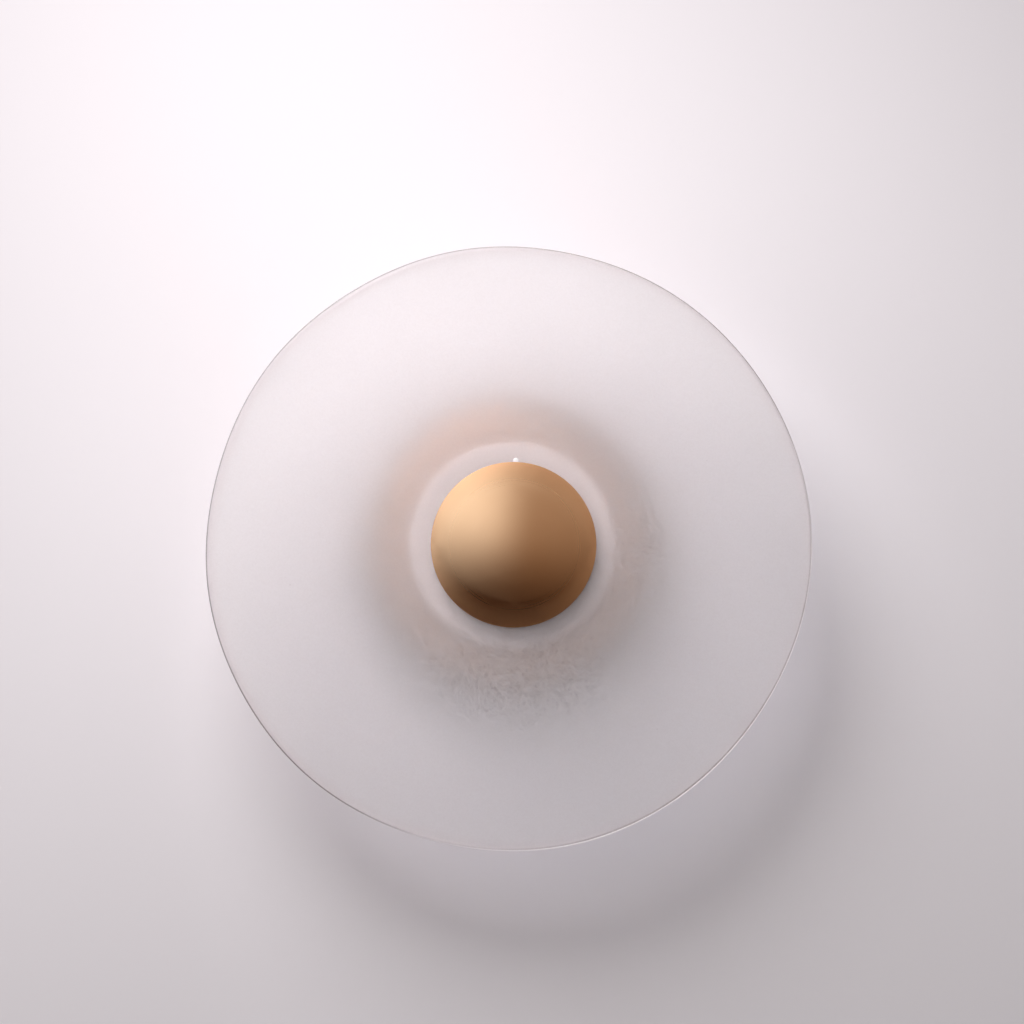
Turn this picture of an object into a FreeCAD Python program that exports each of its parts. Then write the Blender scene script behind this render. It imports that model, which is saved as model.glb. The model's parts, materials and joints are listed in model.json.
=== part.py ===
"""Wall sconce: a frosted glass disc clamped on a hollow rod between a round brass canopy and a brass dome.

Millimetres. X runs right, Z up, and the wall is the plane Y = 0 with the room on the -Y side, so a depth
is a distance from the wall into the room. The rod's axis is the Y axis. From the wall outwards the stack
is: bracket, canopy with the wiring inside, light ring under an opal cup, collar, glass, nut and dome.
"""
import FreeCAD, Part
import math
import os

import Sketcher
from FreeCAD import Placement, Rotation, Vector



# ---------------------------------------------------------------- driving dimensions

disc_radius = 150  # glass disc, centre to edge
disc_thickness = 6  # glass disc
disc_left = 1.9  # disc centre left of the rod, as trimmed by hand
disc_low = 1.3  # disc centre below the rod, as trimmed by hand
disc_hole = 7  # hole in the glass, radius
dome_radius = 41  # dome at its rim
dome_height = 18  # dome, rim to apex
dome_wall = 1  # spun brass of the dome
canopy_radius = 77  # canopy at the wall
canopy_depth = 36  # canopy, wall to its flat front
canopy_wall = 1.2  # spun brass of the canopy
rod_radius = 5  # hollow threaded rod M10 x 1
rod_bore = 3.5  # bore of the rod, radius
sheet_steel = 1.5  # bracket and chassis plate
spreader_thickness = 2  # aluminium plate under the light ring
ring_inner = 26  # light ring circuit board, inside radius
ring_thickness = 1.6  # light ring circuit board
chip_count = 24  # light chips
cup_radius = 51.5  # opal cup, outside radius
cup_depth = 10  # opal cup, rim to face
cup_wall = 2  # opal cup
flange_radius = 18  # collar, gaskets and clamp washer that hold the glass
flange_thickness = 2  # flange of the collar
gasket = 1.5  # soft pads on both sides of the glass
bracket_width = 22  # bracket strap
bracket_tab = 14  # bracket, wall to the ends of its folded tabs
bracket_bend = 1.5  # inside radius of the bracket's folds
wall_screw_half = 30  # wall slots, half of their spacing
wall_slot_radius = 2.6  # wall slots, half of their width
wall_slot_length = 14  # wall slots, end to end
side_screw_depth = 8  # depth of the canopy's side screws
lead_hole = 18  # lead hole right of the rod
box_half = 29  # driver box, half of its length
box_top = -11  # driver box, height of its upper side
box_bottom = -41  # driver box, height of its lower side
box_depth = 16.5  # driver box without its lid
box_wall = 1.6  # driver box and lid
block_half = 20  # terminal block, half of its length
block_low = 16  # terminal block, height of its lower side
block_high = 34  # terminal block, height of its upper side
block_depth = 16  # terminal block
pole_pitch = 12  # terminal block, pole to pole
cup_seat = 1.5  # flat of the canopy that shows round the opal cup
ring_margin = 4.5  # aluminium plate, inside the opal cup's outside
chip_margin = 4  # light chips, inside the circuit board's edge
bracket_gap = 1.1  # bracket's folded ends, inside the canopy's skirt
wiring_gap = 8.3  # leads, on the wall side of the chassis plate
rod_spare = 6.3  # rod, behind the chassis plate
rod_short = 3.5  # rod, short of the dome's height
slip = 0.05  # radial clearance of screws, threads and brazed faces
loose = 0.3  # clearance round parts that drop into place
earth_right = 48  # earth screw, right of the rod
earth_screw_radius = 2  # earth screw M4
cable_hole = 7  # hole in the bracket for the supply cable, radius
side_screw_radius = 2  # side screws M4
small_screw_radius = 1.5  # screws M3 of driver, terminals and light ring
small_head_radius = 2.8  # heads of the M3 screws
ear_spread = 3.5  # driver screws, outside the driver box
ear_height = -31  # driver screws, height
ring_screw_circle = 34  # screws of the light ring, circle radius
block_screw_height = 25  # terminal block's own screws, height
terminal_row = 4  # clamp screws, above and below the block's own screws
barrel_radius = 2.8  # terminal barrels
collar_radius = 8  # tube of the glass collar
boss_radius = 7.5  # threaded boss in the dome
boss_back = 8  # boss, in front of the glass
boss_spare = 1  # bore of the boss, past the rod's end
grommet_radius = 4.5  # neck of the lead grommet
mains_lead = 1  # live, neutral and earth leads, radius
ring_lead = 0.8  # leads to the light ring, radius
plug_right = 28  # connector's near end, right of the rod
plug_length = 8  # connector
nut_flats = 14  # nuts, across the flats
nut_thickness = 4  # nuts


class Size:
    """A number that keeps the sheet expression it came from, so a sum of sizes stays bound to the sheet."""

    def __init__(self, value, text):
        self.value = value
        self.text = text

    def joined(self, sign, value, other, swapped=False):
        left, right = (text_of(other), self.text) if swapped else (self.text, text_of(other))
        return Size(value, f"({left} {sign} {right})")

    def __add__(self, other):
        return self.joined("+", self.value + number(other), other)

    def __radd__(self, other):
        return self.joined("+", number(other) + self.value, other, swapped=True)

    def __sub__(self, other):
        return self.joined("-", self.value - number(other), other)

    def __rsub__(self, other):
        return self.joined("-", number(other) - self.value, other, swapped=True)

    def __mul__(self, other):
        return self.joined("*", self.value * number(other), other)

    def __rmul__(self, other):
        return self.joined("*", number(other) * self.value, other, swapped=True)

    def __truediv__(self, other):
        return self.joined("/", self.value / number(other), other)

    def __neg__(self):
        return 0 - self

    def root(self):
        return Size(math.sqrt(self.value), f"sqrt({self.text})")


def number(size):
    return size.value if isinstance(size, Size) else float(size)


def text_of(size):
    return size.text if isinstance(size, Size) else repr(float(size))


doc = FreeCAD.newDocument("disc_sconce")

# Every size above gets a cell of the sheet, and its name then stands for that cell.
cells = doc.addObject("Spreadsheet::Sheet", "Dims")
sizes = [(name, value) for name, value in globals().items() if type(value) in (int, float)]
for place, (name, value) in enumerate(sizes, 1):
    cells.set(f"A{place}", name)
    cells.set(f"B{place}", str(value))
    cells.setAlias(f"B{place}", name)
    globals()[name] = Size(float(value), f"Dims.{name}")
doc.recompute()

# depths that follow from the stack on the rod
chassis_front = canopy_depth - canopy_wall
chassis_back = chassis_front - sheet_steel
spreader_front = canopy_depth + spreader_thickness
ring_front = spreader_front + ring_thickness
cup_face = canopy_depth + cup_depth
flange_front = cup_face + flange_thickness
glass_back = flange_front + gasket
glass_front = glass_back + disc_thickness
clamp_back = glass_front + gasket
box_back = chassis_back - box_depth
block_back = chassis_back - block_depth
wiring_depth = chassis_back - wiring_gap
ring_lead_depth = ring_front + 2
rod_back = chassis_back - rod_spare
rod_front = glass_front + dome_height - rod_short
ear_right = box_half + ear_spread

# radii that follow from the canopy and the cup
shoulder = cup_radius + cup_seat
canopy_round = canopy_radius - shoulder
chassis_radius = cup_radius - cup_seat
spreader_radius = cup_radius - ring_margin
ring_outer = spreader_radius - 1
chip_circle = ring_outer - chip_margin
bracket_half = canopy_radius - canopy_wall - bracket_gap

# heights at which the leads meet the driver box
live_height = box_top - 15
neutral_height = box_top - 8
positive_height = box_top - 15
negative_height = box_top - 9


# ---------------------------------------------------------------- sketching and features

def bind(thing, prop, size):
    """Gives a property its number and, where it came from the sheet, its expression."""
    setattr(thing, prop, number(size))
    if isinstance(size, Size):
        thing.setExpression(prop, size.text)


def new_body(name):
    body = doc.addObject("PartDesign::Body", name)
    body.Label = name
    return body


def base(body, role):
    """One of the body's own origin planes or axes."""
    return next(item for item in body.Origin.OriginFeatures if item.Role == role)


def sketch_on(body, name, plane, offset=0):
    """A sketch on an origin plane, moved along its normal: into the room, up, or to the right."""
    sketch = body.newObject("Sketcher::SketchObject", f"{body.Name}_{name}")
    sketch.AttachmentSupport = [(base(body, plane), "")]
    sketch.MapMode = "FlatFace"
    sketch.AttachmentOffset = Placement(Vector(0, 0, number(offset)), Rotation())
    if isinstance(offset, Size):
        sketch.setExpression(".AttachmentOffset.Base.z", offset.text)
    return sketch


def hold(sketch, geometry, end, across, up):
    """Fixes one point of the sketch by its two coordinates."""
    for kind, size in (("DistanceX", across), ("DistanceY", up)):
        index = sketch.addConstraint(Sketcher.Constraint(kind, -1, 1, geometry, end, number(size)))
        if isinstance(size, Size):
            sketch.setExpression(f"Constraints[{index}]", size.text)


def hold_radius(sketch, geometry, size):
    index = sketch.addConstraint(Sketcher.Constraint("Radius", geometry, number(size)))
    if isinstance(size, Size):
        sketch.setExpression(f"Constraints[{index}]", size.text)


def circle(sketch, across, up, radius):
    centre = Vector(number(across), number(up), 0)
    index = sketch.addGeometry(Part.Circle(centre, Vector(0, 0, 1), number(radius)), False)
    hold(sketch, index, 3, across, up)
    hold_radius(sketch, index, radius)


def arc_between(start, end, radius):
    """The short arc between two points: counter-clockwise when the radius is positive."""
    chord = end - start
    middle = (start + end) / 2
    rise = math.sqrt(max(radius * radius - chord.Length ** 2 / 4, 0))
    left = Vector(-chord.y, chord.x, 0).normalize()
    centre = middle + left * (rise if radius > 0 else -rise)
    first, last = (start, end) if radius > 0 else (end, start)
    turn = [math.atan2(point.y - centre.y, point.x - centre.x) for point in (first, last)]
    return Part.ArcOfCircle(Part.Circle(centre, Vector(0, 0, 1), abs(radius)), turn[0], turn[1])


def outline(sketch, corners):
    """A closed outline. A corner is (across, up), or (across, up, radius) when an arc leads to it."""
    spots = [Vector(number(corner[0]), number(corner[1]), 0) for corner in corners]
    ends = []
    for index, corner in enumerate(corners):
        start, end = spots[index - 1], spots[index]
        if len(corner) == 2:
            geometry = sketch.addGeometry(Part.LineSegment(start, end), False)
            ends.append((geometry, 1, 2))
        else:
            radius = number(corner[2])
            geometry = sketch.addGeometry(arc_between(start, end, radius), False)
            hold_radius(sketch, geometry, corner[2] if radius > 0 else -corner[2])
            ends.append((geometry, 1, 2) if radius > 0 else (geometry, 2, 1))
    for index, corner in enumerate(corners):
        geometry, _, tail = ends[index]
        following, head, _ = ends[(index + 1) % len(corners)]
        sketch.addConstraint(Sketcher.Constraint("Coincident", geometry, tail, following, head))
        hold(sketch, geometry, tail, corner[0], corner[1])


def rectangle(sketch, left, low, right, high):
    outline(sketch, [(left, low), (right, low), (right, high), (left, high)])


def slot(sketch, across, up, length, radius):
    """A level slot with round ends, each end two quarter turns that meet at its tip."""
    reach = length / 2 - radius
    outline(sketch, [
        (across - reach, up - radius, radius),
        (across + reach, up - radius),
        (across + length / 2, up, radius),
        (across + reach, up + radius, radius),
        (across - reach, up + radius),
        (across - length / 2, up, radius),
    ])


def polygon(sketch, sides, across_flats, up=0):
    """A regular polygon round (0, up) with a flat on each side."""
    reach = across_flats / 2 * (1 / math.cos(math.pi / sides))
    turns = [2 * math.pi * (index + 0.5) / sides for index in range(sides)]
    outline(sketch, [(reach * math.sin(turn), up + reach * math.cos(turn)) for turn in turns])


def pad(body, sketch, length, both_ways=False):
    feature = body.newObject("PartDesign::Pad", f"{sketch.Name}_pad")
    feature.Profile = sketch
    bind(feature, "Length", length)
    if both_ways:
        feature.SideType = "Symmetric"
    return feature


def cut(body, sketch, length=None, forward=True):
    """A pocket from the sketch towards the room, or towards the wall. No length means right through."""
    feature = body.newObject("PartDesign::Pocket", f"{sketch.Name}_cut")
    feature.Profile = sketch
    feature.Reversed = forward
    if length is None:
        feature.Type = "ThroughAll"
        feature.SideType = "Symmetric"
    else:
        bind(feature, "Length", length)
    return feature


def turned(name, corners):
    """A body turned about the rod's axis from corners given as (radius, depth), arcs as in outline."""
    body = new_body(name)
    sketch = sketch_on(body, "section", "XY_Plane")
    outline(sketch, [(corner[0], -corner[1]) + tuple(-size for size in corner[2:]) for corner in corners])
    feature = body.newObject("PartDesign::Revolution", f"{name}_turned")
    feature.Profile = sketch
    feature.ReferenceAxis = (base(body, "Y_Axis"), [""])
    feature.Angle = 360
    return body


def edges(body, wanted):
    """Names of the edges whose every vertex passes the test, which gets across, depth and height."""
    doc.recompute()
    shape = body.Tip.Shape
    return [
        f"Edge{index + 1}"
        for index, edge in enumerate(shape.Edges)
        if all(wanted(spot.X, -spot.Y, spot.Z) for spot in edge.Vertexes)
    ]


def dress(body, kind, names, size):
    """A fillet or chamfer on the named edges of the body's last feature."""
    last = body.Tip
    feature = body.newObject(f"PartDesign::{kind}", f"{body.Name}_{kind.lower()}")
    feature.Base = (last, names)
    bind(feature, "Radius" if kind == "Fillet" else "Size", size)
    return feature


def plate(name, depth, thickness, radius, holes):
    """A round plate with round holes, each given as (across, up, radius)."""
    body = new_body(name)
    sketch = sketch_on(body, "outline", "XZ_Plane", depth)
    circle(sketch, 0, 0, radius)
    for across, up, hole in holes:
        circle(sketch, across, up, hole)
    pad(body, sketch, thickness)
    return body


def screws(name, spots, seat, shank, head, drive, backwards=True):
    """Screws along the depth axis: shank and head are (radius, length), and the head lies on the wall
    side of the seat, or on the room side. The drive is a slot (length, width) cut into the head."""
    body = new_body(name)
    side = -1 if backwards else 1
    shank_start = seat if backwards else seat - shank[1]
    sketch = sketch_on(body, "shanks", "XZ_Plane", shank_start)
    for across, up in spots:
        circle(sketch, across, up, shank[0])
    pad(body, sketch, shank[1])
    head_start = seat - head[1] if backwards else seat
    sketch = sketch_on(body, "heads", "XZ_Plane", head_start)
    for across, up in spots:
        circle(sketch, across, up, head[0])
    pad(body, sketch, head[1])
    top = seat + head[1] * side
    sketch = sketch_on(body, "drives", "XZ_Plane", top)
    for across, up in spots:
        half_long, half_wide = drive[0] / 2, drive[1] / 2
        rectangle(sketch, across - half_long, up - half_wide, across + half_long, up + half_wide)
    cut(body, sketch, head[1] * 0.5, forward=backwards)
    return body


def routed(name, corners, radius, bend):
    """A round lead along straight runs joined by tangent arcs. Corners are (across, depth, height)."""
    spots = [Vector(number(x), -number(depth), number(z)) for x, depth, z in corners]
    pieces = []
    start = spots[0]
    for before, corner, after in zip(spots, spots[1:], spots[2:]):
        arrive = (corner - before).normalize()
        leave = (after - corner).normalize()
        first, last = corner - arrive * bend, corner + leave * bend
        middle = corner + (leave - arrive) * bend * (1 - math.sqrt(0.5))
        pieces += [Part.makeLine(start, first), Part.Arc(first, middle, last).toShape()]
        start = last
    pieces.append(Part.makeLine(start, spots[-1]))
    spine = Part.Wire(pieces)
    radius = number(radius)
    section = Part.Wire(Part.makeCircle(radius, spots[0], spots[1] - spots[0]))
    shape = spine.makePipeShell([section], True, True)
    expected = math.pi * radius * radius * spine.Length
    if abs(shape.Volume - expected) > 0.02 * expected:
        raise RuntimeError(f"{name}: the lead's volume is {shape.Volume:.1f}, not {expected:.1f}")
    lead = doc.addObject("Part::Feature", name)
    lead.Label = name
    lead.Shape = shape
    lead.Placement = Placement()
    return lead


# ---------------------------------------------------------------- wall side

def wall_bracket():
    """Steel strap on the wall with its ends folded forward to take the canopy's side screws."""
    body = new_body("wall_bracket")
    outer = bracket_bend + sheet_steel
    inside = bracket_half - sheet_steel
    sketch = sketch_on(body, "fold", "XY_Plane")
    right = [
        (bracket_half - outer, 0),
        (bracket_half, outer, outer),
        (bracket_half, bracket_tab),
        (inside, bracket_tab),
        (inside, outer),
        (bracket_half - outer, sheet_steel, -bracket_bend),
    ]
    left = [
        (outer - bracket_half, sheet_steel),
        (-inside, outer, -bracket_bend),
        (-inside, bracket_tab),
        (-bracket_half, bracket_tab),
        (-bracket_half, outer),
        (outer - bracket_half, 0, outer),
    ]
    outline(sketch, [(c[0], -c[1]) + tuple(-size for size in c[2:]) for c in right + left])
    pad(body, sketch, bracket_width, both_ways=True)

    sketch = sketch_on(body, "wall_slots", "XZ_Plane", 0)
    for middle in (wall_screw_half, -wall_screw_half):
        slot(sketch, middle, 0, wall_slot_length, wall_slot_radius)
    circle(sketch, 0, 0, cable_hole)
    circle(sketch, earth_right, 0, earth_screw_radius + slip)
    cut(body, sketch)

    sketch = sketch_on(body, "side_holes", "YZ_Plane")
    circle(sketch, -side_screw_depth, 0, side_screw_radius + slip)
    cut(body, sketch)
    tips = edges(body, lambda x, depth, z: depth > bracket_tab.value - 0.1 and abs(z) > 10)
    tips = [name for name in tips if body.Tip.Shape.getElement(name).Length < 2]
    dress(body, "Fillet", tips, 4)
    return body


def side_screws():
    """Two round screws that hold the canopy's skirt to the bracket's tabs."""
    body = new_body("canopy_screws")
    seat = canopy_radius + 0.3
    for side, name in ((1, "right"), (-1, "left")):
        sketch = sketch_on(body, name, "XY_Plane")
        axis = -side_screw_depth
        shank_end = bracket_half - 5
        corners = [
            (shank_end, axis),
            (shank_end, axis + side_screw_radius),
            (seat, axis + side_screw_radius),
            (seat, axis + side_screw_radius * 2),
            (seat + 1.4, axis + side_screw_radius * 2),
            (seat + 2.6, axis + 2.8, 1.3),
            (seat + 2.6, axis + 1),
            (seat + 1.4, axis + 1),
            (seat + 1.4, axis),
        ]
        if side < 0:
            corners = [(-corner[0], corner[1]) + tuple(-size for size in corner[2:]) for corner in corners]
        outline(sketch, corners)
        spin = body.newObject("PartDesign::Revolution", f"canopy_screw_{name}")
        spin.Profile = sketch
        spin.ReferenceAxis = (sketch, ["Edge1"])
        spin.Angle = 360
    return body


def ring_terminal():
    """Crimped ring on the end of the earth lead."""
    body = new_body("earth_ring_terminal")
    sketch = sketch_on(body, "ring", "XZ_Plane", sheet_steel)
    circle(sketch, earth_right, 0, 4.2)
    circle(sketch, earth_right, 0, earth_screw_radius + 0.2)
    pad(body, sketch, 0.8)
    sketch = sketch_on(body, "neck", "XZ_Plane", sheet_steel)
    rectangle(sketch, earth_right - 1.3, 3.4, earth_right + 1.3, 7)
    pad(body, sketch, 0.8)
    sketch = sketch_on(body, "crimp", "XY_Plane", 5.5)
    circle(sketch, earth_right, -3.6, 1.8)
    pad(body, sketch, 3.8)
    sketch = sketch_on(body, "crimp_bore", "XY_Plane", 6.5)
    circle(sketch, earth_right, -3.6, mains_lead + slip)
    pocket = cut(body, sketch, 6)
    pocket.Reversed = True
    return body


# ---------------------------------------------------------------- canopy and what it carries

def canopy():
    """Spun brass bowl: a straight skirt, a wide rounded shoulder and a flat front."""
    shoulder_depth = canopy_depth - canopy_round
    inner = canopy_radius - canopy_wall
    body = turned("canopy", [
        (canopy_radius, 0),
        (canopy_radius, shoulder_depth),
        (shoulder, canopy_depth, canopy_round),
        (rod_radius + loose, canopy_depth),
        (rod_radius + loose, chassis_front),
        (shoulder, chassis_front),
        (inner, shoulder_depth, canopy_wall - canopy_round),
        (inner, 0),
    ])
    sketch = sketch_on(body, "lead_hole", "XZ_Plane", canopy_depth)
    circle(sketch, lead_hole, 0, grommet_radius + slip)
    cut(body, sketch, canopy_wall * 2, forward=False)
    sketch = sketch_on(body, "side_holes", "YZ_Plane")
    circle(sketch, -side_screw_depth, 0, side_screw_radius + loose)
    cut(body, sketch)
    return body


def chassis_plate():
    """Steel disc behind the canopy's front. It stiffens the brass and carries the driver and terminals."""
    vents = [(sign * pole_pitch * 1.2, chassis_radius * 0.8, 2.5) for sign in (-1, 1)]
    return plate("chassis_plate", chassis_back, sheet_steel, chassis_radius, [
        (0, 0, rod_radius + slip * 2),
        (lead_hole, 0, grommet_radius + slip),
        (ear_right, ear_height, small_screw_radius + slip),
        (-ear_right, ear_height, small_screw_radius + slip),
        (pole_pitch / 2, block_screw_height, small_screw_radius + slip),
        (-pole_pitch / 2, block_screw_height, small_screw_radius + slip),
    ] + vents)


def hex_nut(name, start, thickness):
    """Thin hexagon nut for the rod, with its corners chamfered on both faces."""
    body = new_body(name)
    sketch = sketch_on(body, "hexagon", "XZ_Plane", start)
    polygon(sketch, 6, nut_flats)
    circle(sketch, 0, 0, rod_radius + slip)
    pad(body, sketch, thickness)
    faces = [(start, 1), (start + thickness, -1)]
    for index, (face, inward) in enumerate(faces):
        sketch = sketch_on(body, f"corner_{index}", "XY_Plane")
        depth = face + 0.7 * inward
        outline(sketch, [(nut_flats / 2, -face), (nut_flats * 0.65, -face), (nut_flats * 0.65, -depth)])
        groove = body.newObject("PartDesign::Groove", f"{name}_corner_{index}")
        groove.Profile = sketch
        groove.ReferenceAxis = (base(body, "Y_Axis"), [""])
        groove.Angle = 360
    return body


def grommet():
    """Soft grommet that lines the lead hole through chassis plate, canopy and light-ring plate."""
    body = new_body("lead_grommet")
    back = chassis_back - 1.5
    front = spreader_front + 1.2
    for name, start, length, radius in (
        ("back_lip", back, 1.5, grommet_radius + 1.5),
        ("neck", chassis_back, spreader_front - chassis_back, grommet_radius),
        ("front_lip", spreader_front, 1.2, grommet_radius + 1.5),
    ):
        sketch = sketch_on(body, name, "XZ_Plane", start)
        circle(sketch, lead_hole, 0, radius)
        circle(sketch, lead_hole, 0, grommet_radius - 2)
        pad(body, sketch, length)
    rims = edges(body, lambda x, depth, z: depth < back.value + 0.01 or depth > front.value - 0.01)
    rims = [name for name in rims if body.Tip.Shape.getElement(name).Length > 30]
    dress(body, "Fillet", rims, 0.6)
    return body


# ---------------------------------------------------------------- driver box

def driver_case():
    """Open plastic box of the driver with lead holes in its ends and a screw ear at each end."""
    body = new_body("driver_case")
    sketch = sketch_on(body, "block", "XZ_Plane", box_back)
    rectangle(sketch, -box_half, box_bottom, box_half, box_top)
    pad(body, sketch, box_depth)
    corners = edges(body, lambda x, depth, z: abs(x) > box_half.value - 0.1)
    lengths = {name: body.Tip.Shape.getElement(name).Length for name in corners}
    corners = [name for name in corners if abs(lengths[name] - box_depth.value) < 0.01]
    dress(body, "Fillet", corners, 1.5)
    sketch = sketch_on(body, "ears", "XZ_Plane", chassis_back - 2)
    for side in (-1, 1):
        near, far = (box_half - 1) * side, (ear_right + 4) * side
        rectangle(sketch, near, ear_height - 4, far, ear_height + 4)
    pad(body, sketch, 2)
    sketch = sketch_on(body, "ear_holes", "XZ_Plane", chassis_back - 3)
    circle(sketch, ear_right, ear_height, small_screw_radius + 0.2)
    circle(sketch, -ear_right, ear_height, small_screw_radius + 0.2)
    cut(body, sketch, 4)
    sketch = sketch_on(body, "inside", "XZ_Plane", box_back)
    wall = box_wall
    rectangle(sketch, wall - box_half, box_bottom + wall, box_half - wall, box_top - wall)
    cut(body, sketch, box_depth - wall)
    sketch = sketch_on(body, "posts", "XZ_Plane", chassis_back - wall - 1)
    for across in (4.5 - box_half, box_half - 4.5):
        for height in (box_bottom + 4, box_top - 4):
            circle(sketch, across, height, 1.5)
    pad(body, sketch, 1.2)
    for name, side, spots in (
        ("mains", -1, (neutral_height, live_height)),
        ("output", 1, (negative_height, positive_height)),
    ):
        sketch = sketch_on(body, f"{name}_holes", "YZ_Plane", box_half * side)
        for height in spots:
            circle(sketch, -wiring_depth, height, 1.2)
        pocket = cut(body, sketch, wall + 0.5)
        pocket.Reversed = side < 0
    return body


def driver_lid():
    """Lid on the wall side of the driver box, with a lip that drops inside the walls."""
    body = new_body("driver_lid")
    sketch = sketch_on(body, "cover", "XZ_Plane", box_back - box_wall)
    rectangle(sketch, -box_half, box_bottom, box_half, box_top)
    pad(body, sketch, box_wall)
    inset = box_wall + loose
    sketch = sketch_on(body, "lip", "XZ_Plane", box_back)
    rectangle(sketch, inset - box_half, box_bottom + inset, box_half - inset, box_top - inset)
    rectangle(sketch, inset + 1.2 - box_half, box_bottom + inset + 1.2,
              box_half - inset - 1.2, box_top - inset - 1.2)
    pad(body, sketch, 2)
    return body


def driver_parts():
    """Circuit board of the driver with its transformer and capacitors on the wall side."""
    back = chassis_back - box_wall - 1 - ring_thickness
    board = new_body("driver_board")
    sketch = sketch_on(board, "outline", "XZ_Plane", back)
    inset = box_wall + 0.9
    rectangle(sketch, inset - box_half, box_bottom + inset, box_half - inset, box_top - inset)
    pad(board, sketch, ring_thickness)

    coil = new_body("driver_transformer")
    sketch = sketch_on(coil, "core", "XZ_Plane", back - 9)
    rectangle(sketch, -8, -33, 8, -19)
    pad(coil, sketch, 9)
    sketch = sketch_on(coil, "windows", "XZ_Plane", back - 9)
    rectangle(sketch, -5.5, -30.5, 5.5, -29)
    rectangle(sketch, -5.5, -23, 5.5, -21.5)
    cut(coil, sketch, 7)
    sketch = sketch_on(coil, "winding", "XZ_Plane", back - 8)
    rectangle(sketch, -5.2, -29.2, 5.2, -22.8)
    pad(coil, sketch, 6)

    cans = new_body("driver_capacitors")
    sketch = sketch_on(cans, "cans", "XZ_Plane", back - 10)
    for across, height in ((14, -32.5), (14, -24.5), (-14, -33)):
        circle(sketch, across, height, 3.15)
    pad(cans, sketch, 10)
    rims = edges(cans, lambda x, depth, z: depth < back.value - 9.9)
    dress(cans, "Fillet", rims, 0.6)
    return board, coil, cans


# ---------------------------------------------------------------- terminal block

POLES = (-1, 0, 1)
SCREW_ROWS = (block_screw_height - terminal_row, block_screw_height + terminal_row)


def terminal_block():
    """Three-pole block with cable bores from below and above and screw wells open to the wall side."""
    body = new_body("terminal_block")
    sketch = sketch_on(body, "block", "XZ_Plane", block_back)
    rectangle(sketch, -block_half, block_low, block_half, block_high)
    pad(body, sketch, block_depth)
    sketch = sketch_on(body, "saddles", "XZ_Plane", block_back)
    for side in (-1, 1):
        left, right = (pole_pitch / 2 - 1.2) * side, (pole_pitch / 2 + 1.2) * side
        rectangle(sketch, left, block_low, right, block_screw_height - 3)
        rectangle(sketch, left, block_screw_height + 3, right, block_high)
    cut(body, sketch, 4)
    sketch = sketch_on(body, "bores", "XY_Plane")
    for pole in POLES:
        circle(sketch, pole_pitch * pole, -wiring_depth, barrel_radius + slip)
    cut(body, sketch)
    sketch = sketch_on(body, "wells", "XZ_Plane", block_back)
    for pole in POLES:
        for height in SCREW_ROWS:
            circle(sketch, pole_pitch * pole, height, 2.1)
    cut(body, sketch, wiring_depth - block_back)
    sketch = sketch_on(body, "fixing", "XZ_Plane", block_back)
    for side in (-1, 1):
        circle(sketch, pole_pitch / 2 * side, block_screw_height, small_screw_radius + 0.2)
    cut(body, sketch)
    sketch = sketch_on(body, "fixing_wells", "XZ_Plane", block_back)
    for side in (-1, 1):
        circle(sketch, pole_pitch / 2 * side, block_screw_height, small_head_radius + 0.1)
    cut(body, sketch, 3)
    return body


def terminal_barrels():
    """Brass tubes of the terminal block with a threaded hole for each screw."""
    body = new_body("terminal_barrels")
    sketch = sketch_on(body, "tubes", "XY_Plane", block_low + 1.5)
    for pole in POLES:
        circle(sketch, pole_pitch * pole, -wiring_depth, barrel_radius)
        circle(sketch, pole_pitch * pole, -wiring_depth, barrel_radius - 1)
    pad(body, sketch, block_high - block_low - 3)
    sketch = sketch_on(body, "threads", "XZ_Plane", wiring_depth)
    for pole in POLES:
        for height in SCREW_ROWS:
            circle(sketch, pole_pitch * pole, height, small_screw_radius)
    cut(body, sketch, 4, forward=False)
    return body


def terminal_screws():
    """Six slotted screws that clamp the leads in the barrels."""
    spots = [(pole_pitch * pole, height) for pole in POLES for height in SCREW_ROWS]
    shank = (small_screw_radius - slip, wiring_depth - block_back - 3.9)
    return screws("terminal_screws", spots, block_back + 2.6, shank, (1.9, 1.6), (3.9, 0.6))


# ---------------------------------------------------------------- light ring

def light_ring():
    """Ring-shaped circuit board with its circle of light chips and its push-in connector."""
    board = new_body("led_board")
    sketch = sketch_on(board, "ring", "XZ_Plane", spreader_front)
    circle(sketch, 0, 0, ring_outer)
    circle(sketch, 0, 0, ring_inner)
    for across, up in ring_screw_spots():
        circle(sketch, across, up, small_screw_radius + 0.2)
    pad(board, sketch, ring_thickness)

    chips = new_body("led_chips")
    sketch = sketch_on(chips, "chip", "XZ_Plane", ring_front)
    rectangle(sketch, chip_circle - 1.4, -1.75, chip_circle + 1.4, 1.75)
    chip = pad(chips, sketch, 0.7)
    ring = chips.newObject("PartDesign::PolarPattern", "led_chips_ring")
    ring.Originals = [chip]
    ring.Axis = (base(chips, "Y_Axis"), [""])
    ring.Angle = 360
    ring.Occurrences = int(chip_count.value)
    ring.setExpression("Occurrences", chip_count.text)
    chips.Tip = ring

    plug = new_body("led_connector")
    sketch = sketch_on(plug, "housing", "XZ_Plane", ring_front)
    rectangle(sketch, plug_right, -3.2, plug_right + plug_length, 3.2)
    pad(plug, sketch, 3.8)
    sketch = sketch_on(plug, "lead_entries", "YZ_Plane", plug_right)
    for side in (-1, 1):
        circle(sketch, -ring_lead_depth, (ring_lead + 0.3) * side, ring_lead + 0.1)
    pocket = cut(plug, sketch, 4)
    pocket.Reversed = True
    sketch = sketch_on(plug, "release_slots", "XZ_Plane", ring_front + 3.8)
    for low in (0.5, -1.9):
        rectangle(sketch, plug_right + 4.5, low, plug_right + 6.5, low + 1.4)
    cut(plug, sketch, 1, forward=False)
    return board, chips, plug


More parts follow.
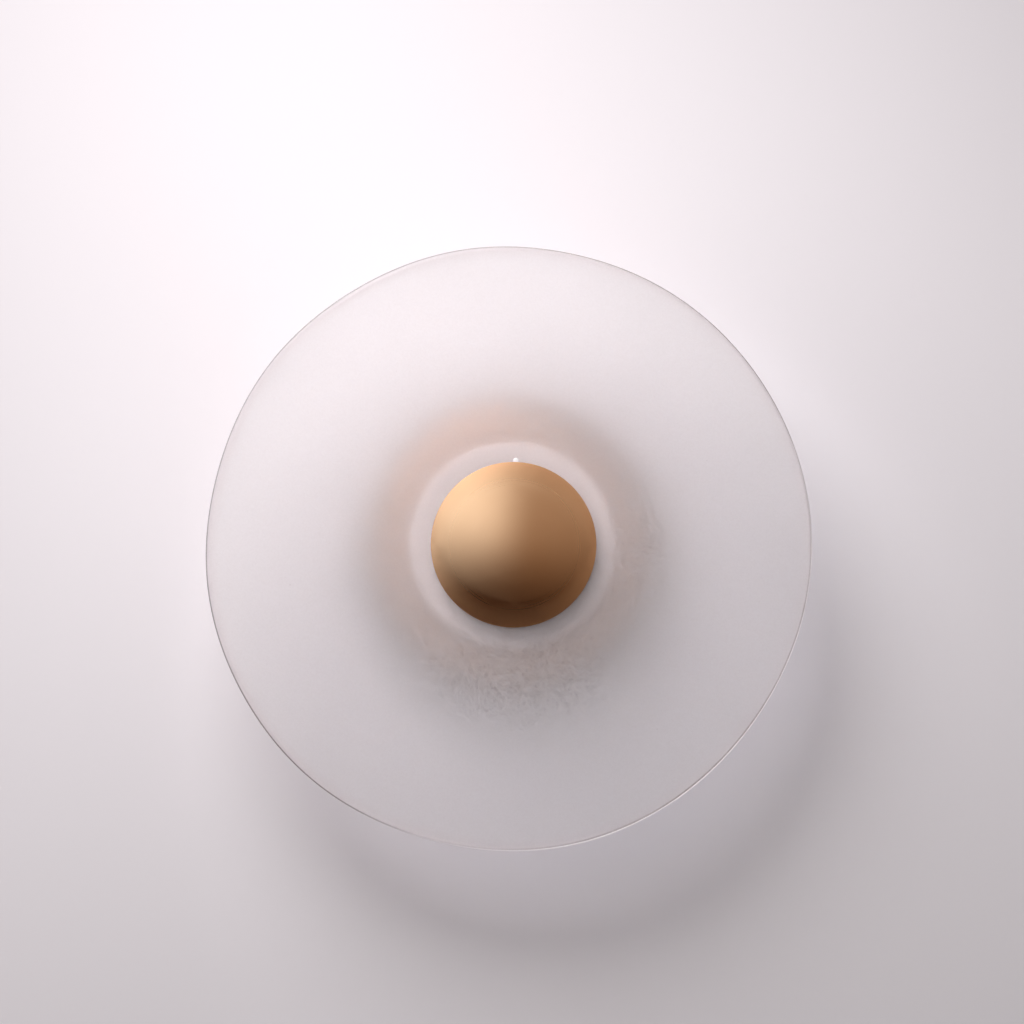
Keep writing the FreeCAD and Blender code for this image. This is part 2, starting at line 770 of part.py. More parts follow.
def ring_screw_spots():
    turns = [math.radians(90 + 120 * index) for index in range(3)]
    return [(ring_screw_circle * math.cos(turn), ring_screw_circle * math.sin(turn)) for turn in turns]


def opal_cup():
    """Opal diffuser: a shallow cup over the light ring, clamped at its middle by the collar's flange."""
    inner = cup_radius - cup_wall
    return turned("diffuser", [
        (cup_radius, canopy_depth),
        (cup_radius, cup_face - 3),
        (cup_radius - 3, cup_face, 3),
        (collar_radius + loose, cup_face),
        (collar_radius + loose, cup_face - cup_wall),
        (inner - 1, cup_face - cup_wall),
        (inner, cup_face - cup_wall - 1, -1),
        (inner, canopy_depth),
    ])


# ---------------------------------------------------------------- glass and its clamp

def glass_collar():
    """Turned brass collar between the light-ring plate and the glass, with a wide front flange."""
    bore = rod_radius + slip * 2
    return turned("glass_collar", [
        (collar_radius + 1.5, spreader_front),
        (collar_radius + 1.5, spreader_front + 1.5),
        (collar_radius, spreader_front + 1.5),
        (collar_radius, cup_face),
        (flange_radius, cup_face),
        (flange_radius, flange_front),
        (bore, flange_front),
        (bore, spreader_front),
    ])


def rear_gasket():
    """Soft pad behind the glass, with a sleeve that keeps the glass off the rod."""
    return turned("rear_gasket", [
        (rod_radius + slip * 2, flange_front),
        (flange_radius, flange_front),
        (flange_radius, glass_back),
        (disc_hole - loose, glass_back),
        (disc_hole - loose, glass_front - 0.5),
        (rod_radius + slip * 2, glass_front - 0.5),
    ])


# The trimmed edge swings in and out as it goes round: (waves, millimetres, phase in degrees).
EDGE_WAVES = ((2, 0.57, 77), (3, 0.08, 46), (4, 0.29, 75), (5, 0.20, -15), (6, 0.11, -58),
              (7, 0.11, -84), (8, 0.16, 66), (9, 0.09, -136))


def glass_disc():
    """Cast glass disc with a slightly wavy, hand-trimmed outline and a rounded edge."""
    body = new_body("glass_disc")
    sketch = sketch_on(body, "edge", "XZ_Plane", glass_back)
    points = []
    for turn in (2 * math.pi * index / 60 for index in range(60)):
        reach = disc_radius.value + sum(
            size * math.cos(waves * turn - math.radians(phase)) for waves, size, phase in EDGE_WAVES)
        across = reach * math.cos(turn) - disc_left.value
        up = reach * math.sin(turn) - disc_low.value
        points.append(Vector(across, up, 0))
    curve = Part.BSplineCurve()
    curve.interpolate(points, True)
    sketch.addGeometry(curve, False)
    circle(sketch, 0, 0, disc_hole)
    pad(body, sketch, disc_thickness)
    rims = edges(body, lambda x, depth, z: math.hypot(x, z) > disc_radius.value / 2)
    dress(body, "Fillet", rims, disc_thickness * 0.42)
    return body


# ---------------------------------------------------------------- dome

def dome():
    """Spun brass dome, a shallow cap of a sphere of even wall thickness, with its threaded boss and soft bead."""
    sphere = dome_radius * dome_radius / (dome_height * 2) + dome_height / 2
    rim = glass_front + 0.4
    apex = rim + dome_height
    inner_sphere = sphere - dome_wall
    centre_behind = sphere - dome_height
    inner_rim = (inner_sphere * inner_sphere - centre_behind * centre_behind).root()
    shell = turned("dome", [
        (dome_radius, rim),
        (0, apex, sphere),
        (0, apex - dome_wall),
        (inner_rim, rim, -inner_sphere),
    ])

    seat = inner_sphere - slip
    centre = apex - sphere
    boss_edge = centre + (seat * seat - boss_radius * boss_radius).root()
    boss_floor = rod_front + boss_spare
    boss = turned("dome_boss", [
        (boss_radius, glass_front + boss_back),
        (boss_radius, boss_edge),
        (0, apex - dome_wall - slip, seat),
        (0, boss_floor),
        (rod_radius + slip, boss_floor),
        (rod_radius + slip, glass_front + boss_back),
    ])

    bead_outer = inner_rim - 0.6
    bead_inner = inner_rim - 2.4
    seal = turned("dome_seal", [
        (bead_outer, glass_front),
        (bead_outer, centre + (seat * seat - bead_outer * bead_outer).root()),
        (bead_inner, centre + (seat * seat - bead_inner * bead_inner).root(), seat),
        (bead_inner, glass_front),
    ])
    return shell, boss, seal


# ---------------------------------------------------------------- build

wall_bracket()
side_screws()
screws("earth_screw", [(earth_right, 0)], sheet_steel + 0.8, (earth_screw_radius, 2.1),
       (earth_screw_radius * 1.8, 2.4), (7.3, 0.9), backwards=False)
ring_terminal()

canopy()
chassis_plate()
turned("rod_washer", [
    (rod_radius + slip * 2, chassis_back - 1),
    (rod_radius * 1.8, chassis_back - 1),
    (rod_radius * 1.8, chassis_back),
    (rod_radius + slip * 2, chassis_back),
])
hex_nut("rod_nut", chassis_back - 1 - nut_thickness, nut_thickness)
turned("centre_rod", [
    (rod_bore, rod_back),
    (rod_radius - 0.6, rod_back),
    (rod_radius, rod_back + 0.6),
    (rod_radius, rod_front - 0.6),
    (rod_radius - 0.6, rod_front),
    (rod_bore, rod_front),
])
grommet()

driver_case()
driver_lid()
driver_parts()
screws("driver_screws", [(ear_right, ear_height), (-ear_right, ear_height)], chassis_back - 2,
       (small_screw_radius, 3.2), (small_head_radius, 1.8), (5.8, 0.7))

terminal_block()
terminal_barrels()
terminal_screws()
block_screw_spots = [(pole_pitch / 2 * side, block_screw_height) for side in (-1, 1)]
screws("terminal_block_screws", block_screw_spots, block_back + 3,
       (small_screw_radius, block_depth - 1.8), (small_head_radius - 0.1, 1.8), (5.6, 0.7))

plate("heat_spreader", canopy_depth, spreader_thickness, spreader_radius,
      [(0, 0, rod_radius + slip * 2), (lead_hole, 0, grommet_radius + slip)]
      + [(across, up, small_screw_radius + slip) for across, up in ring_screw_spots()])
light_ring()
screws("led_board_screws", ring_screw_spots(), ring_front, (small_screw_radius, 3.3),
       (small_head_radius, 1.8), (5.8, 0.7), backwards=False)
opal_cup()

glass_collar()
rear_gasket()
glass_disc()
turned("front_gasket", [
    (rod_radius + slip * 2, glass_front),
    (flange_radius, glass_front),
    (flange_radius, clamp_back),
    (rod_radius + slip * 2, clamp_back),
])
turned("clamp_washer", [
    (rod_radius + slip * 2, clamp_back),
    (flange_radius, clamp_back),
    (flange_radius, clamp_back + 1),
    (flange_radius - 0.5, clamp_back + 1.5),
    (rod_radius + slip * 2, clamp_back + 1.5),
])
hex_nut("glass_nut", clamp_back + 1.5, nut_thickness)
dome()

inside_box = chassis_back - box_wall - 1 - ring_thickness
routed("live_lead", [
    (-pole_pitch, wiring_depth, block_low + 6),
    (-pole_pitch, wiring_depth, block_low - 5),
    (-box_half - 9, wiring_depth, block_low - 5),
    (-box_half - 9, wiring_depth, live_height),
    (8 - box_half, wiring_depth, live_height),
    (8 - box_half, inside_box, live_height),
], mains_lead, 3.0)
routed("neutral_lead", [
    (0, wiring_depth, block_low + 6),
    (0, wiring_depth, block_low - 9.5),
    (-box_half - 5, wiring_depth, block_low - 9.5),
    (-box_half - 5, wiring_depth, neutral_height),
    (8 - box_half, wiring_depth, neutral_height),
    (8 - box_half, inside_box, neutral_height),
], mains_lead, 3.0)
routed("earth_lead", [
    (pole_pitch, wiring_depth, block_low + 6),
    (pole_pitch, wiring_depth, block_low - 3.2),
    (earth_right, wiring_depth, block_low - 3.2),
    (earth_right, 3.6, block_low - 3.2),
    (earth_right, 3.6, 7),
], mains_lead, 3.0)
for name, right, height, side in (
    ("led_lead_positive", box_half + 11, positive_height, 1),
    ("led_lead_negative", box_half + 6, negative_height, -1),
):
    beside = (ring_lead + 0.3) * side
    routed(name, [
        (box_half - 8, inside_box, height),
        (box_half - 8, wiring_depth, height),
        (right, wiring_depth, height),
        (right, wiring_depth, beside),
        (lead_hole, wiring_depth, beside),
        (lead_hole, ring_lead_depth, beside),
        (plug_right + 3.5, ring_lead_depth, beside),
    ], ring_lead, 2.4)

doc.recompute()
os.makedirs("parts", exist_ok=True)
for item in doc.Objects:
    if "Invalid" in item.State or "Error" in item.State:
        raise RuntimeError(f"{item.Name} did not compute")
pieces = [item for item in doc.Objects if item.TypeId in ("PartDesign::Body", "Part::Feature")]
for piece in pieces:
    if piece.Shape.isNull() or not piece.Shape.isValid():
        raise RuntimeError(f"{piece.Label} is not a valid solid")
    piece.Shape.exportStep(f"parts/{piece.Label}.step")
    box = piece.Shape.BoundBox
    print(f"{piece.Label}: {len(piece.Shape.Solids)} solid(s), {piece.Shape.Volume:.0f} mm3, "
          f"{box.XLength:.1f} x {box.YLength:.1f} x {box.ZLength:.1f}")
print(len(pieces), "pieces")
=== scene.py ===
# %% [markdown]
# # A glass disc wall sconce
# The light is a frosted glass disc held between a spun brass canopy on the wall and a spun brass dome.
# The frame comes first: the solids of the part, in metres, with the wall at Y = 0 and the room on the -Y
# side. Radii and depths below are read from their boxes, so the surfaces made here lie where the solids
# are.

import json
import math

import bpy
import numpy as np
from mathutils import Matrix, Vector


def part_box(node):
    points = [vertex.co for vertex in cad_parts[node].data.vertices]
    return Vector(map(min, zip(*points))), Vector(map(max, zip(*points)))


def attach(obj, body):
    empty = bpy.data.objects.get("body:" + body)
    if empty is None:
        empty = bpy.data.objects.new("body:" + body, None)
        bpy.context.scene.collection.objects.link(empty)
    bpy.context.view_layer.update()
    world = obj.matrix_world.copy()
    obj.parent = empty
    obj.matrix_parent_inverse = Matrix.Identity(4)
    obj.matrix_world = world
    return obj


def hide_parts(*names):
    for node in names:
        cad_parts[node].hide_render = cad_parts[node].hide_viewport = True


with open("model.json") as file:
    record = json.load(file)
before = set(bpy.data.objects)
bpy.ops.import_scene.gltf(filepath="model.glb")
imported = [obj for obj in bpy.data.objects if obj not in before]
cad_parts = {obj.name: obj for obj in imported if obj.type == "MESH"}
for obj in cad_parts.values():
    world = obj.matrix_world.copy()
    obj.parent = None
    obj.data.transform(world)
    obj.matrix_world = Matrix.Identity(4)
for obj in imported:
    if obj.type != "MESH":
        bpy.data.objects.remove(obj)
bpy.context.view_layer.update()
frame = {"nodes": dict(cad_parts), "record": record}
nodes = frame["nodes"]
MM = 0.001
print("pieces in the frame:", len(nodes))

# %% [markdown]
# ## Camera
# The photograph was taken almost square on, a little from the left and below. A long lens from nearly two
# metres gives the flat look. The aim point puts the disc a little below the middle of the picture, as it
# is in the photograph.

# %% Camera at the photograph's angle
glass_low, glass_high = (Vector(corner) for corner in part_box("glass_disc"))
glass_front, glass_back = -glass_low.y, -glass_high.y
PICTURE_PIXELS = 1024
PIXEL_ON_DISC = 0.495 * MM
SENSOR_WIDTH = 36
FROM_LEFT, FROM_BELOW = math.radians(-2.2), math.radians(-3.0)
field = PICTURE_PIXELS * PIXEL_ON_DISC
aim = Vector((-0.8 * MM, -glass_front, 16.2 * MM))
distance = 1.9
camera_data = bpy.data.cameras.new("camera")
camera_data.sensor_width = SENSOR_WIDTH
camera_data.lens = SENSOR_WIDTH / (field / distance)
camera = bpy.data.objects.new("camera", camera_data)
bpy.context.collection.objects.link(camera)
bpy.context.scene.camera = camera
towards_camera = Vector((math.sin(FROM_LEFT), -1, math.sin(FROM_BELOW))).normalized()
camera.location = aim + distance * towards_camera
camera.rotation_euler = (aim - camera.location).to_track_quat("-Z", "Y").to_euler()
bpy.context.scene.view_settings.view_transform = "Standard"
print("lens", round(camera_data.lens, 1), "mm")

# %% [markdown]
# ## A small language for finishes
# A finish is a net of shader nodes. Written as plain arithmetic it reads like the thing it describes: `1
# - mask` or `grain * 0.2 + 0.3`. The class below wraps one output socket and turns each operator into a
# Math node, and `Finish.node` makes any other node from its type, its settings and its inputs.

# %% Sockets that do arithmetic
class Wire:
    """One output socket of a node. Arithmetic on it adds Math nodes to the finish it belongs to."""

    def __init__(self, finish, socket):
        self.finish, self.socket = finish, socket

    def math(self, operation, other=0.0, swapped=False):
        first, second = (other, self) if swapped else (self, other)
        return self.finish.node("ShaderNodeMath", {"operation": operation}, {0: first, 1: second})

    def __add__(self, other):
        return self.math("ADD", other)

    def __radd__(self, other):
        return self.math("ADD", other, swapped=True)

    def __sub__(self, other):
        return self.math("SUBTRACT", other)

    def __rsub__(self, other):
        return self.math("SUBTRACT", other, swapped=True)

    def __mul__(self, other):
        return self.math("MULTIPLY", other)

    def __rmul__(self, other):
        return self.math("MULTIPLY", other, swapped=True)


class Finish:
    """A node tree under construction, of a new material or of the world. Its nodes are made with `node`."""

    def __init__(self, name, world=None):
        self.owner = world or bpy.data.materials.new(name)
        self.owner.use_nodes = True
        self.tree = self.owner.node_tree
        self.tree.nodes.clear()

    def node(self, kind, settings=None, inputs=None, output=0):
        """Any node: settings first, then the values or wires of its sockets. Gives one output as a Wire."""
        made = self.tree.nodes.new(kind)
        for key, value in (settings or {}).items():
            setattr(made, key, value)
        for key, value in (inputs or {}).items():
            if isinstance(value, Wire):
                self.tree.links.new(value.socket, made.inputs[key])
            else:
                made.inputs[key].default_value = value
        return Wire(self, made.outputs[output]) if made.outputs else made

    def place(self):
        """Where a point lies on the object, in metres."""
        return self.node("ShaderNodeTexCoord", output="Object")

    def split(self, vector, axis):
        return self.node("ShaderNodeSeparateXYZ", {}, {0: vector}, output=axis)

    def stretched(self, vector, scale):
        return self.node("ShaderNodeVectorMath", {"operation": "MULTIPLY"}, {0: vector, 1: scale})

    def noise(self, vector, scale, detail=2.0, roughness=0.5):
        return self.node("ShaderNodeTexNoise", {},
                         {"Vector": vector, "Scale": scale, "Detail": detail, "Roughness": roughness})

    def ramp(self, value, low, high, start=0.0, end=1.0):
        """A value carried smoothly from the range low..high to start..end, and held there outside it."""
        return self.node("ShaderNodeMapRange", {"interpolation_type": "SMOOTHSTEP"},
                         {"Value": value, "From Min": low, "From Max": high, "To Min": start, "To Max": end})

    def blend(self, factor, first, second):
        """A colour between two colours."""
        return self.node("ShaderNodeMix", {"data_type": "RGBA"}, {0: factor, 6: first, 7: second}, output=2)

    def bump(self, height, distance, strength=1.0):
        return self.node("ShaderNodeBump", {},
                         {"Height": height, "Distance": distance, "Strength": strength})

    def from_axis(self, right=0.0, up=0.0):
        """Distance of a point from a line along Y, by default the rod's axis, in metres."""
        offset = self.node("ShaderNodeVectorMath", {"operation": "SUBTRACT"},
                           {0: self.place(), 1: (right, 0, up)})
        flat = self.stretched(offset, (1, 0, 1))
        return self.node("ShaderNodeVectorMath", {"operation": "LENGTH"}, {0: flat}, output="Value")

    def principled(self, **inputs):
        named = {key.replace("_", " "): value for key, value in inputs.items()}
        return self.node("ShaderNodeBsdfPrincipled", {}, named)

    def shade(self, shader):
        self.node("ShaderNodeOutputMaterial", {}, {"Surface": shader})
        return self.owner


def rgb(red, green, blue):
    return (red, green, blue, 1.0)


print("finish language ready")

# %% [markdown]
# ## Spun and turned surfaces
# Dome, canopy and cup are all round, so one function serves them: a profile of radius and depth carried
# round the rod's axis. Corners get small arcs, because no spun or turned edge is perfectly sharp, and the
# arcs also let the smooth shading run round them.

# %% Profiles and surfaces of revolution
DEGREES_PER_POINT = 9


def corner_arc(spot, before, after, fillet):
    """The arc of radius `fillet` that touches the lines from a corner to its neighbours. Seen from its
    centre, a point of it is a blend of its two ends, weighted by sines so that its distance stays the
    same."""
    to_before = (before - spot) / np.linalg.norm(before - spot)
    to_after = (after - spot) / np.linalg.norm(after - spot)
    opening = math.acos(np.clip(to_before @ to_after, -1, 1))
    sweep = math.pi - opening
    touch = fillet / math.tan(opening / 2)
    towards = (to_before + to_after) / np.linalg.norm(to_before + to_after)
    centre = spot + towards * fillet / math.sin(opening / 2)
    first = spot + to_before * touch - centre
    last = spot + to_after * touch - centre
    count = max(3, int(math.degrees(sweep) / DEGREES_PER_POINT) + 1)
    share = np.linspace(0, 1, count)[:, None]
    return centre + (np.sin((1 - share) * sweep) * first + np.sin(share * sweep) * last) / math.sin(sweep)


def between(start, end, step):
    """Evenly spaced points of a straight line, about one step apart, without its two ends."""
    count = int(np.linalg.norm(end - start) / step)
    share = np.linspace(0, 1, count + 2)[1:-1, None]
    return start + (end - start) * share


def rounded(corners, step):
    """Points of a closed profile in mm. Each corner is (radius, depth, fillet): an arc lies at each
    corner, and the points between two arcs lie on the straight line that joins them."""
    spots = [np.array(corner[:2], float) for corner in corners]
    arcs = [corner_arc(spots[index], spots[index - 1], spots[(index + 1) % len(spots)], corner[2])
            for index, corner in enumerate(corners)]
    points = []
    for index, arc in enumerate(arcs):
        points += [arc, between(arc[-1], arcs[(index + 1) % len(arcs)][0], step)]
    return np.concatenate(points)


def grid_mesh(name, places, closed_rows, poles=()):
    """A mesh from a grid of places (rows, spokes, 3) in metres that closes round its spokes, and from its
    last row to its first when closed_rows is set. Corner k of a face is place (row, spoke), then its
    neighbour round the axis, then the two of the next row. The rows in poles are single points on the
    axis, so their faces are triangles. The first edge of every face runs round the axis, which is the way
    the brushing goes."""
    rows, spokes = places.shape[:2]
    index = np.arange(rows * spokes).reshape(rows, spokes)
    for row in poles:
        index[row] = index[row, 0]
    used, compact = np.unique(index, return_inverse=True)
    index = compact.reshape(rows, spokes)
    below = index if closed_rows else index[:-1]
    above = np.roll(index, -1, axis=0) if closed_rows else index[1:]
    quads = np.stack([below, np.roll(below, -1, axis=1), np.roll(above, -1, axis=1), above], axis=-1)
    quads = quads.reshape(-1, 4)
    flat_below = quads[:, 0] == quads[:, 1]
    flat_above = quads[:, 2] == quads[:, 3]
    faces = quads[~flat_below & ~flat_above].tolist()
    faces += quads[flat_below & ~flat_above][:, [0, 2, 3]].tolist()
    faces += quads[~flat_below & flat_above][:, [0, 1, 2]].tolist()
    mesh = bpy.data.meshes.new(name)
    mesh.from_pydata(places.reshape(-1, 3)[used], [], faces)
    mesh.shade_smooth()
    piece = bpy.data.objects.new(name, mesh)
    bpy.context.collection.objects.link(piece)
    print(name, len(mesh.vertices), "vertices")
    return piece


def turned(name, profile, spokes):
    """The surface (r cos t, -depth, r sin t), where (r, depth) runs along a closed profile and t once
    round."""
    radius, depth = profile[:, 0] * MM, profile[:, 1] * MM
    turn = np.linspace(0, 2 * np.pi, spokes, endpoint=False)
    places = np.stack([
        radius[:, None] * np.cos(turn),
        -np.repeat(depth[:, None], spokes, axis=1),
        radius[:, None] * np.sin(turn),
    ], axis=-1)
    poles = np.flatnonzero(radius == 0)
    return grid_mesh(name, places, True, poles)


def wear(piece, body, slot, finish, *replaced):
    """Gives a piece its finish, the body it moves with and the solids it stands for."""
    piece.data.materials.clear()
    piece.data.materials.append(finish)
    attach(piece, body)
    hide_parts(*replaced)


# %% [markdown]
# ## Spun brass
# A sheet of brass is pressed over a turning form, and the tool and the abrasive pad leave fine rings
# round the axis. They spread a highlight outwards into a fan and leave it narrow the other way, which
# anisotropy does. Noise that changes only with the radius and the depth makes the rings, and varies the
# roughness and the colour a little, as lacquered brass does.

# %% Brushed brass finish
def spun_brass(name, colour, roughness):
    """Brass with rings round the axis. The noise is read at (radius, depth), so it is the same all round."""
    finish = Finish(name)
    radius = finish.from_axis()
    depth = finish.split(finish.place(), "Y")
    along = finish.node("ShaderNodeCombineXYZ", {}, {0: radius, 1: depth, 2: 0.0})
    fine = finish.noise(along, 3600.0, 3.0, 0.7)
    broad = finish.noise(along, 150.0, 2.0)
    cloud = finish.noise(finish.place(), 45.0, 3.0)
    tarnish = finish.ramp(cloud, 0.35, 0.75)
    tint = tuple(channel * factor for channel, factor in zip(colour[:3], (0.93, 0.88, 0.84))) + (1.0,)
    ringed = finish.blend((fine - 0.5) * 0.5 + 0.35, colour, tint)
    base = finish.blend(tarnish * 0.35, ringed, tint)
    rough = (fine - 0.5) * 0.16 + (broad - 0.5) * 0.08 + (cloud - 0.5) * 0.06 + roughness
    lines = finish.bump(fine, 0.000012, 0.5)
    return finish.shade(finish.principled(
        Base_Color=base, Metallic=1.0, Roughness=rough, Anisotropic=0.7, Anisotropic_Rotation=0.25,
        Coat_Weight=0.1, Coat_Roughness=0.3, Normal=lines))


dome_brass = spun_brass("dome_brass", rgb(0.87, 0.475, 0.225), 0.31)
# The canopy's brass is far darker than the dome's: the difference is painted shade for the canopy lying
# behind the frosted glass.
canopy_brass_painted_shade = spun_brass("canopy_brass_painted_shade", rgb(0.500, 0.295, 0.185), 0.48)
print("brass:", dome_brass.name, canopy_brass_painted_shade.name)

# %% [markdown]
# ## The dome
# The dome is a shallow bowl, a touch pointed like a parabola, with the sheet's own thickness and a rim
# rolled smooth. Its shading in the photograph runs evenly out to the rim, so the rim still faces the
# room. Its rows lie close together and its spokes further apart, so every face is long in the direction
# of the brushing.

# %% Dome
dome_low, dome_high = (np.array(corner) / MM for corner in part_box("dome"))
dome_radius = (dome_high[0] - dome_low[0]) / 2
dome_rim, dome_apex = -dome_high[1], -dome_low[1]
dome_wall, lip = 1.0, 0.25
OUTER_ROWS, INNER_ROWS = 190, 70
slope = 2 * (dome_apex - dome_rim - lip) / dome_radius ** 2


def bowl(radius, inside=0.0):
    """Points of the bowl: depth = apex - slope x radius^2 / 2, moved inwards along the normal by
    `inside`."""
    steep = slope * radius
    normal = np.stack([steep, np.ones_like(radius)], axis=-1) / np.sqrt(1 + steep ** 2)[:, None]
    return np.stack([radius, dome_apex - slope * radius ** 2 / 2], axis=-1) - inside * normal


outer = bowl(np.linspace(dome_radius, 0.0, OUTER_ROWS))
inner = bowl(np.linspace(0.0, dome_radius, INNER_ROWS), dome_wall)
inner = inner[inner[:, 1] > dome_rim + lip]
print("dome: apex", round(dome_apex, 1), "mm off the wall, rim", round(dome_rim, 1), "mm")

# %% Rim of the dome, an arch of sines between the two surfaces
rim_turn = np.linspace(0.15, 0.85, 7)
rim_middle = (outer[0] + inner[-1]) / 2
half_gap = (outer[0] - inner[-1]) / 2
rim = rim_middle - np.cos(np.pi * rim_turn)[:, None] * half_gap
rim[:, 1] -= lip * np.sin(np.pi * rim_turn)
spun_dome = turned("spun_dome", np.concatenate([outer, inner, rim]), spokes=96)
wear(spun_dome, "dome_shell", "brass_satin", dome_brass, "dome")

# %% [markdown]
# ## The bead's tab
# A soft clear bead keeps the dome's rim off the glass. Where its moulding ended, a small tab shows just
# above the dome. It is coloured near-white, unlike the clear bead: a painted glint, light caught on it.
# It is a low blister on the glass: an ellipse whose height falls to nothing at its edge.

# %% Tab of the bead
def blister(name, right, up, half_width, half_height, rise, lift, rings=10, spokes=40):
    """Ring s of the blister lies at s times the ellipse and rises by rise x sqrt(1 - s^2). The first row
    is the middle of its flat base."""
    share = np.concatenate([[0.0], np.linspace(1, 0, rings)])
    tall = rise * np.sqrt(1 - share ** 2)
    tall[0] = 0.0
    turn = np.linspace(0, 2 * np.pi, spokes, endpoint=False)
    places = np.stack([
        right + share[:, None] * half_width * np.cos(turn),
        -np.repeat((lift + tall)[:, None], spokes, axis=1),
        up + share[:, None] * half_height * np.sin(turn),
    ], axis=-1) * MM
    return grid_mesh(name, places, False, (0, len(places) - 1))


bead_tab_painted_glint = blister("bead_tab_painted_glint", right=1.2, up=dome_radius + 0.3, half_width=1.6, half_height=1.7,
                   rise=0.36, lift=glass_front / MM)
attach(bead_tab_painted_glint, "dome_carriage")

# %% [markdown]
# ## The canopy
# The canopy is spun too: a straight skirt against the wall, a wide rounded shoulder and a flat front
# under the opal cup. Seen through the frosted glass it is the brown haze that fades outwards, because its
# shoulder falls away from the glass.

# %% Canopy
canopy_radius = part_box("canopy")[1][0] / MM
canopy_depth = -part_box("canopy")[0][1] / MM
cup_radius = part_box("diffuser")[1][0] / MM
CANOPY_WALL, ROD_HOLE, CUP_LEDGE = 1.2, 5.3, 1.5
shoulder_radius = canopy_radius - (cup_radius + CUP_LEDGE)
canopy_profile = rounded([
    (canopy_radius, 0, 0.5),
    (canopy_radius, canopy_depth, shoulder_radius),
    (ROD_HOLE, canopy_depth, 0.2),
    (ROD_HOLE, canopy_depth - CANOPY_WALL, 0.2),
    (canopy_radius - CANOPY_WALL, canopy_depth - CANOPY_WALL, shoulder_radius - CANOPY_WALL),
    (canopy_radius - CANOPY_WALL, 0, 0.5),
], step=1.5)
spun_canopy = turned("spun_canopy", canopy_profile, spokes=128)
wear(spun_canopy, "fixture", "brass_satin", canopy_brass_painted_shade, "canopy")

# %% [markdown]
# ## The opal cup
# A shallow acrylic cup covers the light ring. Behind the glass it is the pale ring round the dome. Opal
# acrylic is white all through and lets light pass, so it is mostly a diffuse surface with a soft gloss,
# and a little of its light comes from below its surface. Its colour here is a pinkish mid grey, not white:
# painted shade from the frosted glass and the dome in front of it, and a painted reflection of the brass.

# %% Opal acrylic and the cup
def opal_acrylic():
    finish = Finish("opal_acrylic")
    cloud = finish.noise(finish.place(), 60.0, 2.0)
    fine = finish.noise(finish.place(), 1500.0, 2.0)
    # A pinkish grey instead of white: painted shade and a painted brass reflection on the white acrylic.
    base = finish.blend(cloud, rgb(0.660, 0.555, 0.515), rgb(0.730, 0.615, 0.570))
    return finish.shade(finish.principled(
        Base_Color=base, Roughness=(fine - 0.5) * 0.15 + 0.42, Normal=finish.bump(fine, 0.00002, 0.5),
        Subsurface_Weight=0.25, Subsurface_Radius=(0.004, 0.0035, 0.003), Subsurface_Scale=1.0))


cup_face = -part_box("diffuser")[0][1] / MM
CUP_WALL, CUP_HOLE = 2.0, 8.3
cup_profile = rounded([
    (cup_radius, canopy_depth, 0.4),
    (cup_radius, cup_face, 3.0),
    (CUP_HOLE, cup_face, 0.4),
    (CUP_HOLE, cup_face - CUP_WALL, 0.4),
    (cup_radius - CUP_WALL, cup_face - CUP_WALL, 1.0),
    (cup_radius - CUP_WALL, canopy_depth, 0.4),
], step=1.5)
opal_cup = turned("opal_cup", cup_profile, spokes=128)
wear(opal_cup, "fixture", "opal_acrylic", opal_acrylic(), "diffuser")

# %% [markdown]
# ## The glass disc
# The disc was cut and its edge ground by hand, so its outline swings in and out by up to a millimetre and
# its middle isn't quite on the rod. Those swings are a sum of a few cosines. The kiln leaves the faces
# very slightly wavy and the edge round. A grid of rings and spokes carries all of that: each ring is a
# blend of the round hole and the uneven edge.

# %% Glass disc
# Each swing of the edge is (waves round the disc, height in mm, direction of a crest in degrees).
EDGE_WAVES = ((2, 0.57, 77), (3, 0.08, 46), (4, 0.29, 75), (5, 0.20, -15), (6, 0.11, -58),
              (7, 0.11, -84), (8, 0.16, 66), (9, 0.09, -136))
disc_left, disc_low, disc_radius, disc_hole = 1.9, 1.3, 150.0, 7.0
DISC_SPOKES = 360
EDGE_ROUND, HOLE_ROUND = 2.7, 0.4
RIPPLE, SUNK = 0.10, 0.16
RIPPLE_STARTS, RIPPLE_GROWS, RIPPLE_STOPS = 45.0, 30.0, 12.0
disc_back, disc_front = glass_back / MM, glass_front / MM
disc_profile = rounded([
    (disc_radius, disc_back, EDGE_ROUND),
    (disc_radius, disc_front, EDGE_ROUND),
    (disc_hole, disc_front, HOLE_ROUND),
    (disc_hole, disc_back, HOLE_ROUND),
], step=2.0)


